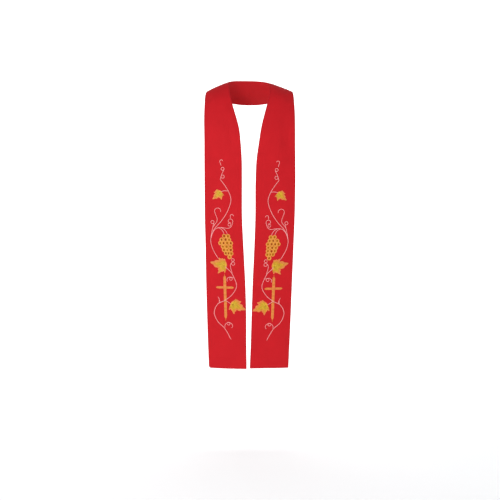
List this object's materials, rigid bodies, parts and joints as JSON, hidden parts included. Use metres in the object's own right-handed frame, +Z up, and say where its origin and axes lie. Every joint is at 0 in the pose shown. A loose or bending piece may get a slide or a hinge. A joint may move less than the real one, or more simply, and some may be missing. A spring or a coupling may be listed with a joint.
{
  "type": "clerical stole",
  "caption": "Clerical stole in its worn form: a band of cloth round the open neck, over the shoulders and down the front, with raised embroidery of vine, leaves, grapes and a cross.",
  "frame": {"origin": "the middle of the neck, level with the points where the inner edges cross the tops of the shoulders", "axes": "+Z up, -Y to the front, +X to the wearer's left"},
  "size_m": [0.3846, 0.2352, 1.2265],
  "materials": {
    "red_cloth": "matt, closely woven, slightly lustrous",
    "leaf_thread": "lustrous embroidery thread",
    "grape_thread": "lustrous embroidery thread",
    "cross_thread": "lustrous embroidery thread",
    "stem_thread": "lustrous embroidery thread"
  },
  "bodies": {
    "root": {"half_right": "red_cloth", "half_left": "red_cloth", "leaf_top_right": "leaf_thread", "leaf_top_left": "leaf_thread", "leaf_middle_right": "leaf_thread", "leaf_middle_left": "leaf_thread", "leaf_low_right": "leaf_thread", "leaf_low_left": "leaf_thread", "grapes_right": "grape_thread", "grapes_left": "grape_thread", "cross_right": "cross_thread", "cross_left": "cross_thread", "vine_upper_right": "stem_thread", "vine_upper_left": "stem_thread", "vine_lower_right": "stem_thread", "vine_lower_left": "stem_thread"}
  },
  "joints": []
}
